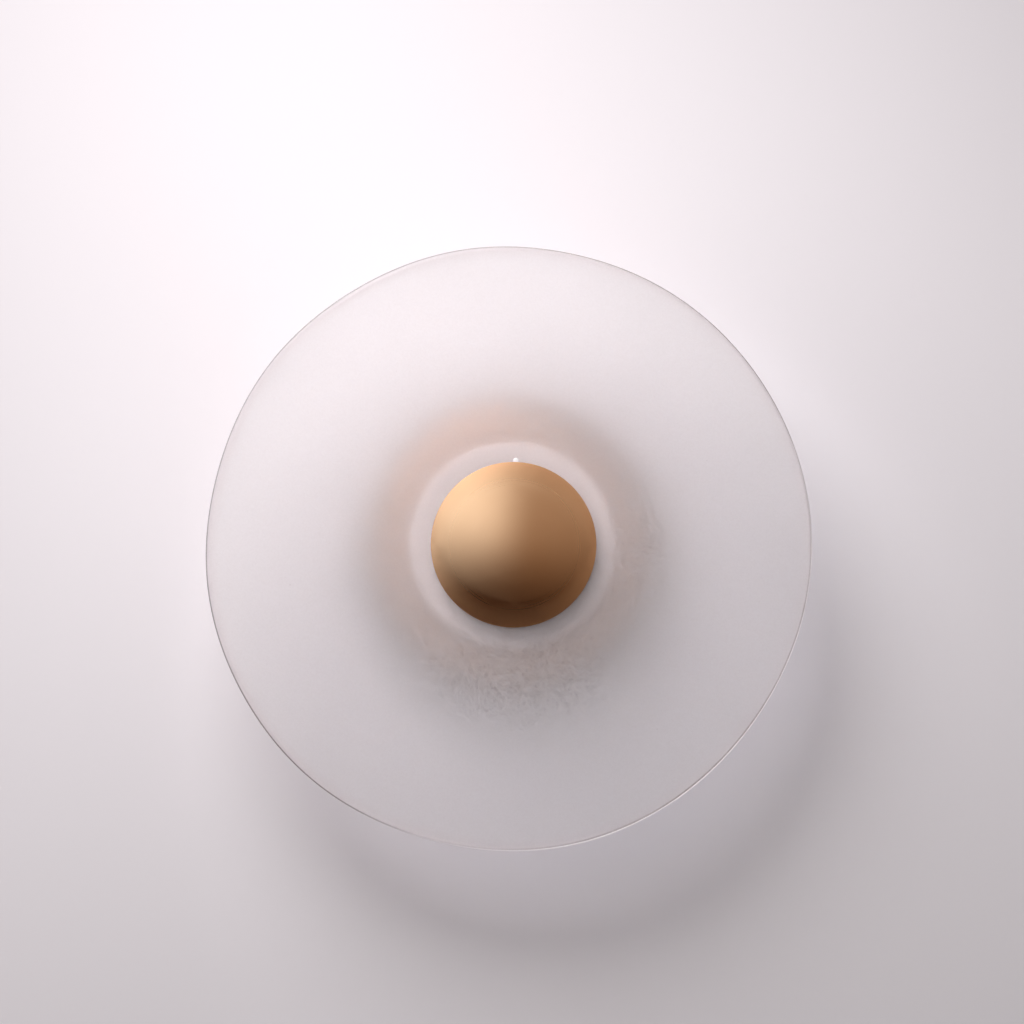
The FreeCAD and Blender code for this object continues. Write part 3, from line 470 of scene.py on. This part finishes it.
def disc_surface(profile, spokes):
    """Rings of the disc. A share s of the way from hole to edge, a point is (1 - s) times the hole's
    circle plus s times the edge, whose reach is 150 mm plus the cosines. Between the clamped middle and
    the rounded edge the faces rise and fall by a slow ripple, and the front lies a little deeper so that
    its crests stay inside."""
    turn = np.linspace(0, 2 * np.pi, spokes, endpoint=False)
    reach = disc_radius + sum(size * np.cos(waves * turn - math.radians(crest))
                              for waves, size, crest in EDGE_WAVES)
    edge = np.stack([reach * np.cos(turn) - disc_left, reach * np.sin(turn) - disc_low], axis=-1)
    hole = disc_hole * np.stack([np.cos(turn), np.sin(turn)], axis=-1)
    share = ((profile[:, 0] - disc_hole) / (disc_radius - disc_hole))[:, None, None]
    flat = (1 - share) * hole + share * edge
    ripple = (np.sin(flat[..., 0] * 0.061 + 0.7) * np.cos(flat[..., 1] * 0.053 - 0.4)
              + 0.6 * np.sin(flat[..., 0] * 0.11 - flat[..., 1] * 0.09 + 1.9))
    growing = np.clip((profile[:, 0] - RIPPLE_STARTS) / RIPPLE_GROWS, 0, 1)
    window = growing * np.clip((disc_radius - profile[:, 0]) / RIPPLE_STOPS, 0, 1)
    face = np.sign(profile[:, 1] - (disc_back + disc_front) / 2)
    sunk = SUNK * window * (face > 0)
    depth = (profile[:, 1] - sunk)[:, None] + (RIPPLE * face * window)[:, None] * ripple
    return np.stack([flat[..., 0], -depth, flat[..., 1]], axis=-1) * MM


frosted_disc = grid_mesh("frosted_disc", disc_surface(disc_profile, DISC_SPOKES), True)
inward = frosted_disc.data.attributes.new("inward", "FLOAT", "POINT")
inward.data.foreach_set("value", np.repeat(disc_radius - disc_profile[:, 0], DISC_SPOKES).astype(np.float32))

# %% [markdown]
# ## Frosted glass
# Acid or sand leaves both faces matt, so light that passes is scattered: what touches the glass stays
# readable, and what lies deeper blurs into haze. The shader is a rough glass with part of it white, for
# the light that the frosted skin sends back and lets glow through. The attribute `inward` says how many
# millimetres a point lies from the edge. Along the rounded rim a thin dark line of painted shade is
# drawn, and on the side away from the lamp a pale line of painted light, as if light glowed out through
# the edge. A few small seeds lie in the glass. The lamp has to reach the wall and the brass through the
# disc, so its shadow rays partly pass.

# %% Frosted glass finish
GLASS_ROUGH = 0.56
MILK = 0.25
GLOW_SHARE = 0.5
LET_THROUGH = 0.5
SKIN_DARK, SKIN_PALE = rgb(0.865, 0.850, 0.842), rgb(0.895, 0.880, 0.874)
SKIN_MEAN = rgb(0.880, 0.865, 0.858)
SEEDS = ((-110.4, -20.0, 0.5), (71.0, -91.1, 0.5), (-58.0, 86.0, 0.35), (96.0, 42.0, 0.35))


def frosted_glass():
    """Rough glass mixed with a white skin by the grain, with a painted dark line of shade and a painted pale
    line of light along the rim. `away` is 1 where the edge faces right and down, away from the lamp, and
    each seed is (right, up, radius) in mm."""
    finish = Finish("frosted_glass")
    inward = finish.node("ShaderNodeAttribute", {"attribute_name": "inward"}, output="Fac")
    facing = finish.node("ShaderNodeNewGeometry", output="Normal")
    away = finish.ramp(finish.split(facing, "X") - finish.split(facing, "Z"), 0.2, 1.1)
    outermost = finish.ramp(inward, 0.35, 0.95, 1.0, 0.0)
    second = finish.ramp((inward - 1.15).math("ABSOLUTE"), 0.25, 0.65, 1.0, 0.0)
    # The rim line is painted shade: on the outermost ring where the edge faces the lamp, one ring further in
    # where it faces away.
    line = outermost * (1 - away) + second * away
    band = finish.ramp(inward, 0.5, 7.0, 1.0, 0.0)
    grain = finish.noise(finish.place(), 1150.0, 2.0, 0.65)
    speckle = finish.noise(finish.place(), 800.0, 1.0)
    cloud = finish.noise(finish.place(), 22.0, 3.0)
    seeds = 0.0
    for right, up, size in SEEDS:
        near = finish.from_axis(right * MM, up * MM)
        seeds = seeds + finish.ramp(near, size * 0.4 * MM, size * MM, 1.0, 0.0)
    skin = finish.blend(cloud, SKIN_DARK, SKIN_PALE)
    skin = finish.blend(band * 0.5, skin, rgb(0.84, 0.785, 0.775))
    skin = finish.blend(seeds * 0.35, skin, rgb(0.42, 0.37, 0.35))
    # Painted shade: the dark rim line. Painted light: the pale line where the rim faces away from the lamp.
    skin = finish.blend(line * 0.8, skin, rgb(0.20, 0.155, 0.14))
    skin = finish.blend(outermost * away * 0.8, skin, rgb(0.97, 0.96, 0.95))
    rough = (cloud - 0.5) * 0.08 + (grain - 0.5) * 0.10 + GLASS_ROUGH - outermost * 0.15
    normal = finish.bump(grain * 0.6 + speckle * 0.4, 0.00005, 0.3)
    clear_part = finish.principled(Base_Color=skin, Roughness=rough, IOR=1.5, Transmission_Weight=1.0,
                                   Normal=normal)
    white_skin = finish.principled(Base_Color=skin, Roughness=0.55, Normal=normal)
    glow_through = finish.node("ShaderNodeBsdfTranslucent", {}, {"Color": SKIN_MEAN, "Normal": normal})
    glow = (1 - line) * GLOW_SHARE
    milk_part = finish.node("ShaderNodeMixShader", {}, {0: glow, 1: white_skin, 2: glow_through})
    milk = (grain - 0.5) * 1.3 + (speckle - 0.5) * 0.2 + MILK + line * 0.3
    body = finish.node("ShaderNodeMixShader", {}, {0: milk, 1: clear_part, 2: milk_part})
    clear = finish.node("ShaderNodeBsdfTransparent", {}, {"Color": rgb(0.90, 0.88, 0.88)})
    passing = finish.node("ShaderNodeLightPath", output="Is Shadow Ray") * LET_THROUGH
    return finish.shade(finish.node("ShaderNodeMixShader", {}, {0: passing, 1: body, 2: clear}))


wear(frosted_disc, "fixture", "frosted_glass", frosted_glass(), "glass_disc")

# %% [markdown]
# ## The threaded rod
# The rod is 10 mm across with one millimetre of pitch and a bore for leads. A thread is a wave that
# climbs one pitch for each turn, so the radius is a triangle wave of the depth minus the share of the
# turn.

# %% Threaded rod
rod_low, rod_high = (np.array(corner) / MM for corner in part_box("centre_rod"))
rod_back, rod_front = -rod_high[1], -rod_low[1]
ROD_RADIUS, BORE_RADIUS, BORE_ROWS = 5.0, 3.5, 12


def threaded_rod(spokes=48, pitch=1.0, groove=0.55):
    """Radius = 5 mm - groove x |triangle wave of (depth / pitch - turn / 2 pi)|. Over the last 0.6 mm at
    both ends it fades into a plain neck at the root of the thread. Then the surface goes back through the
    bore."""
    outside = np.arange(rod_back, rod_front + 1e-6, pitch / 8)
    turn = np.linspace(0, 2 * np.pi, spokes, endpoint=False)
    phase = (outside[:, None] / pitch - turn / (2 * np.pi)) % 1.0
    fade = np.clip(np.minimum(outside - rod_back, rod_front - outside) / 0.6, 0, 1)[:, None]
    radius = ROD_RADIUS - groove * (1 - fade) - groove * fade * np.abs(2 * phase - 1) * 0.98
    depth = np.repeat(outside[:, None], spokes, axis=1)
    inside = np.linspace(rod_front, rod_back, BORE_ROWS)
    radius = np.concatenate([radius, np.full((BORE_ROWS, spokes), BORE_RADIUS)])
    depth = np.concatenate([depth, np.repeat(inside[:, None], spokes, axis=1)])
    return np.stack([radius * np.cos(turn), -depth, radius * np.sin(turn)], axis=-1) * MM


rod_piece = grid_mesh("threaded_rod", threaded_rod(), True)

# %% [markdown]
# ## Finishes of the hidden parts
# Zinc-plated steel, turned brass and aluminium, and tinned copper are seen from behind and from the side.
# Each has the mark of how it is made: plating clouds and rolling lines on steel, turning rings on brass
# and aluminium, and patches on copper where the tin is thin.

# %% Metals
def plated_steel():
    """Rolling lines are noise stretched along X, and the zinc's spangle is a cell pattern in the
    roughness."""
    finish = Finish("zinc_steel")
    lines = finish.noise(finish.stretched(finish.place(), (20, 900, 900)), 1.0, 3.0, 0.65)
    spangle = finish.node("ShaderNodeTexVoronoi", {}, {"Vector": finish.place(), "Scale": 380.0}, "Distance")
    cloud = finish.noise(finish.place(), 70.0, 3.0)
    base = finish.blend(cloud, rgb(0.56, 0.58, 0.60), rgb(0.70, 0.70, 0.68))
    base = finish.blend(finish.ramp(cloud, 0.62, 0.78) * 0.3, base, rgb(0.62, 0.60, 0.48))
    rough = (lines - 0.5) * 0.2 + spangle * 0.1 + 0.33
    return finish.shade(finish.principled(Base_Color=base, Metallic=1.0, Roughness=rough,
                                          Normal=finish.bump(lines, 0.00002, 0.5)))


def turned_metal(name, colour, roughness):
    """Turning rings: noise read at (radius, depth), as for the spun brass, but finer."""
    finish = Finish(name)
    radius = finish.from_axis()
    depth = finish.split(finish.place(), "Y")
    along = finish.node("ShaderNodeCombineXYZ", {}, {0: radius, 1: depth, 2: 0.0})
    rings = finish.noise(along, 4200.0, 2.0)
    cloud = finish.noise(finish.place(), 90.0, 2.0)
    darker = tuple(channel * 0.8 for channel in colour[:3]) + (1.0,)
    return finish.shade(finish.principled(
        Base_Color=finish.blend(cloud, darker, colour), Metallic=1.0,
        Roughness=(rings - 0.5) * 0.2 + roughness, Normal=finish.bump(rings, 0.00003, 0.6)))


def tinned_copper():
    """Grey tin that lets copper through where a cloud of noise is high."""
    finish = Finish("tinned_copper")
    cloud = finish.noise(finish.place(), 300.0, 3.0)
    base = finish.blend(finish.ramp(cloud, 0.5, 0.75), rgb(0.72, 0.71, 0.69), rgb(0.70, 0.55, 0.46))
    return finish.shade(finish.principled(Base_Color=base, Metallic=1.0, Roughness=cloud * 0.2 + 0.22,
                                          Normal=finish.bump(cloud, 0.00003, 0.4)))


# %% [markdown]
# ## Plastics, rubbers and boards
# Moulded plastics, silicone and lead insulation are the same recipe with other numbers: a colour that
# drifts a little, a mould grain in the roughness and a fine bump. The light ring's board and its chips
# carry a pattern that lies on circles, so they read the distance from the axis.

# %% Plastics and rubbers
def moulded(name, colour, roughness, clear=0.0):
    """A colour that drifts by 8 % in clouds, over a mould grain. `clear` is the share of light that
    passes."""
    finish = Finish(name)
    cloud = finish.noise(finish.place(), 55.0, 2.0)
    fine = finish.noise(finish.place(), 1800.0, 2.0, 0.6)
    darker = tuple(channel * 0.92 for channel in colour[:3]) + (1.0,)
    shader = finish.principled(
        Base_Color=finish.blend(cloud, darker, colour), Roughness=(fine - 0.5) * 0.2 + roughness,
        Transmission_Weight=clear, Normal=finish.bump(fine, 0.00002, 0.5))
    return finish.shade(shader)


def earth_insulation():
    """Green with a yellow stripe: the stripe follows one side of the lead, found from the face's
    direction."""
    finish = Finish("lead_green_yellow")
    facing = finish.node("ShaderNodeNewGeometry", output="Normal")
    stripe = finish.ramp(finish.split(facing, "X") + finish.split(facing, "Y") * 0.6, -0.15, 0.05)
    fine = finish.noise(finish.place(), 1500.0, 2.0)
    base = finish.blend(stripe, rgb(0.04, 0.30, 0.07), rgb(0.78, 0.66, 0.05))
    return finish.shade(finish.principled(Base_Color=base, Roughness=(fine - 0.5) * 0.15 + 0.4,
                                          Normal=finish.bump(fine, 0.00002, 0.4)))


HALF_CHIP = 1.4 * MM


def light_chips():
    """Each chip has a yellow phosphor window in a white frame; the window lies on the chips' circle."""
    finish = Finish("led_phosphor")
    chip_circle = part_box("led_chips")[1][0] - HALF_CHIP
    off = (finish.from_axis() - chip_circle).math("ABSOLUTE")
    window = finish.ramp(off, 0.0009, 0.0011, 1.0, 0.0)
    cloud = finish.noise(finish.place(), 2500.0, 2.0)
    yellow = finish.blend(cloud, rgb(0.86, 0.68, 0.16), rgb(0.95, 0.80, 0.30))
    base = finish.blend(window, rgb(0.88, 0.88, 0.86), yellow)
    return finish.shade(finish.principled(Base_Color=base, Roughness=0.45 - window * 0.25))


def ring_board():
    """White solder mask with two faint copper tracks under it, as rings."""
    finish = Finish("white_solder_mask")
    radius = finish.from_axis()
    wide_track = finish.ramp((radius - 0.0385).math("ABSOLUTE"), 0.0006, 0.0008, 1.0, 0.0)
    narrow_track = finish.ramp((radius - 0.0445).math("ABSOLUTE"), 0.0004, 0.0006, 1.0, 0.0)
    tracks = wide_track + narrow_track
    fine = finish.noise(finish.place(), 1400.0, 2.0)
    base = finish.blend(tracks * 0.5, rgb(0.86, 0.86, 0.84), rgb(0.78, 0.74, 0.66))
    return finish.shade(finish.principled(Base_Color=base, Roughness=(fine - 0.5) * 0.1 + 0.38,
                                          Normal=finish.bump(tracks, 0.00003, 0.6)))


# %% [markdown]
# ## Finishes on the solids
# Every solid keeps the material slot that the record gives it, so the finishes go on by slot name.

# %% Put the finishes on the solids
finishes = {
    "brass_satin": canopy_brass_painted_shade,
    "raw_brass": turned_metal("raw_brass", rgb(0.72, 0.53, 0.27), 0.3),
    "zinc_steel": plated_steel(),
    "tinned_copper": tinned_copper(),
    "plain_aluminium": turned_metal("plain_aluminium", rgb(0.74, 0.75, 0.76), 0.36),
    "frosted_glass": bpy.data.materials["frosted_glass"],
    "opal_acrylic": bpy.data.materials["opal_acrylic"],
    "clear_silicone": moulded("clear_silicone", rgb(0.84, 0.83, 0.82), 0.34, clear=0.35),
    "dark_rubber": moulded("dark_rubber", rgb(0.05, 0.05, 0.05), 0.6),
    "white_plastic": moulded("white_plastic", rgb(0.82, 0.82, 0.79), 0.42),
    "circuit_green": moulded("circuit_green", rgb(0.04, 0.22, 0.11), 0.3),
    "white_solder_mask": ring_board(),
    "led_phosphor": light_chips(),
    "ferrite": moulded("ferrite", rgb(0.08, 0.08, 0.085), 0.55),
    "capacitor_sleeve": moulded("capacitor_sleeve", rgb(0.04, 0.05, 0.11), 0.22),
    "lead_brown": moulded("lead_brown", rgb(0.20, 0.09, 0.045), 0.4),
    "lead_blue": moulded("lead_blue", rgb(0.05, 0.17, 0.50), 0.4),
    "lead_green_yellow": earth_insulation(),
    "lead_red": moulded("lead_red", rgb(0.50, 0.035, 0.03), 0.4),
    "lead_black": moulded("lead_black", rgb(0.025, 0.025, 0.025), 0.4),
}
for part in frame["record"]["subparts"]:
    solid = nodes[part["node"]]
    solid.data.materials.clear()
    solid.data.materials.append(finishes[part["material_slot"]])
wear(rod_piece, "fixture", "zinc_steel", finishes["zinc_steel"], "centre_rod")
# The tab's near-white colour is a painted glint on the clear bead.
bead_tab_painted_glint.data.materials.append(moulded("bead_tab_painted_glint", rgb(0.93, 0.92, 0.91), 0.3))
print("finishes:", len(finishes))

# %% [markdown]
# ## Wall
# The light hangs on a plain painted wall with a faint roller grain. Under the canopy the wall has its
# opening for the cable. From behind, the wall would hide the light, so its back face is clear. The brass
# mirrors the room's own colours and not this small piece of wall.

# %% Wall
def wall_paint():
    finish = Finish("wall_paint")
    grain = finish.noise(finish.place(), 700.0, 3.0, 0.6)
    broad = finish.noise(finish.place(), 3.0, 2.0)
    base = finish.blend(broad, rgb(0.80, 0.775, 0.785), rgb(0.83, 0.805, 0.815))
    paint = finish.principled(Base_Color=base, Roughness=0.8, Normal=finish.bump(grain, 0.0001, 0.12),
                              Specular_IOR_Level=0.2)
    clear = finish.node("ShaderNodeBsdfTransparent")
    behind = finish.node("ShaderNodeNewGeometry", output="Backfacing")
    return finish.shade(finish.node("ShaderNodeMixShader", {}, {0: behind, 1: paint, 2: clear}))


WALL_HOLE = (canopy_radius - 1.0) * MM
WALL_REACH, WALL_GAP = 0.46, 0.0003


def wall_surface(rings=24, spokes=128):
    """A flat ring round the rod, a hair behind the canopy. A share s of the way out, its radius is
    hole x (reach / hole)^s."""
    radius = WALL_HOLE * (WALL_REACH / WALL_HOLE) ** np.linspace(0, 1, rings)
    turn = np.linspace(0, 2 * np.pi, spokes, endpoint=False)
    across, up = radius[:, None] * np.cos(turn), radius[:, None] * np.sin(turn)
    return np.stack([across, np.full_like(across, WALL_GAP), up], axis=-1)[::-1]


wall = grid_mesh("wall", wall_surface(), False)
wall.data.materials.append(wall_paint())
wall.visible_glossy = False

# %% [markdown]
# ## Light
# A large round soft lamp hangs a good metre away, high on the left. Because it is so near, the wall falls
# slowly from white at the upper left to grey at the lower right. Its size gives the disc's shadow, down
# and to the right, its soft edge. Neither the camera nor the brass sees the lamp itself.

# %% Lamp
LAMP_WATTS = 66.1
LAMP_RADIUS = 0.378
LAMP_CONE, LAMP_BLEND = 66.5, 0.20
LAMP_PLACE = (-0.366, -0.672, 0.831)
LAMP_AIM = (0.060, 0, -0.142)
LAMP_COLOUR = (1.0, 0.955, 0.985)
lamp_data = bpy.data.lights.new("soft_box", "SPOT")
lamp_data.spot_size, lamp_data.spot_blend = math.radians(LAMP_CONE), LAMP_BLEND
lamp_data.shadow_soft_size = LAMP_RADIUS
lamp_data.energy, lamp_data.color = LAMP_WATTS, LAMP_COLOUR
soft_box = bpy.data.objects.new("soft_box", lamp_data)
soft_box.location = LAMP_PLACE
soft_box.rotation_euler = (Vector(LAMP_AIM) - soft_box.location).to_track_quat("-Z", "Y").to_euler()
soft_box.visible_camera = False
soft_box.visible_glossy = False
bpy.context.collection.objects.link(soft_box)
print("lamp:", lamp_data.energy, "W")

# %% [markdown]
# ## Room
# The rest of the light comes from the room. Plain surfaces get a pale grey that is brighter above than
# below. The brass mirrors a room with more in it: a warm ceiling, a cooler tint higher up and a broad cool
# glow high on the left, which makes the bright lobe on the dome. The camera sees a plain pale backdrop.

# %% Room
CEILING = (0.099, -0.25, 0.963)
CEILING_COLOUR = (0.433, 0.322, 0.236)
UPPER_COLOUR = (0.0, 0.104, 0.218)
GLOW_COLOUR = (0.98, 1.32, 1.85)
LOWEST_COLOUR = (0.02, 0.01, 0.01)
PLAIN_COLOUR = (0.311, 0.299, 0.297)
BACKDROP = rgb(0.86, 0.85, 0.85)
world = bpy.data.worlds.new("room")
bpy.context.scene.world = world
room = Finish("room", world)
direction = room.node("ShaderNodeTexCoord", output="Generated")
height, across = room.split(direction, "Z"), room.split(direction, "X")


def tinted(amount, colour):
    """A colour scaled by a wire, as a vector."""
    return room.node("ShaderNodeVectorMath", {"operation": "SCALE"}, {0: colour, "Scale": amount})


def together(first, second):
    """The sum of two colours."""
    return room.node("ShaderNodeVectorMath", {"operation": "ADD"}, {0: first, 1: second})


upper = room.ramp(height, -0.755, 0.882)
upper_left = upper * room.ramp(across, 0.467, -0.821)
from_above = room.node("ShaderNodeVectorMath", {"operation": "DOT_PRODUCT"},
                       {0: direction, 1: CEILING}, output="Value")
plain_room = tinted(room.ramp(height, -1.3, 0.6), PLAIN_COLOUR)
mirrored = together(tinted(room.ramp(from_above, -1.0, 1.0), CEILING_COLOUR), tinted(upper, UPPER_COLOUR))
mirrored = together(mirrored, tinted(upper_left, GLOW_COLOUR))
mirrored = together(mirrored, LOWEST_COLOUR)
is_mirrored = room.node("ShaderNodeLightPath", output="Is Glossy Ray")
is_seen = room.node("ShaderNodeLightPath", output="Is Camera Ray")
around = room.blend(is_seen, room.blend(is_mirrored, plain_room, mirrored), BACKDROP)
background = room.node("ShaderNodeBackground", {}, {"Color": around, "Strength": 1.0})
room.node("ShaderNodeOutputWorld", {}, {"Surface": background})
print("world nodes:", len(room.tree.nodes))
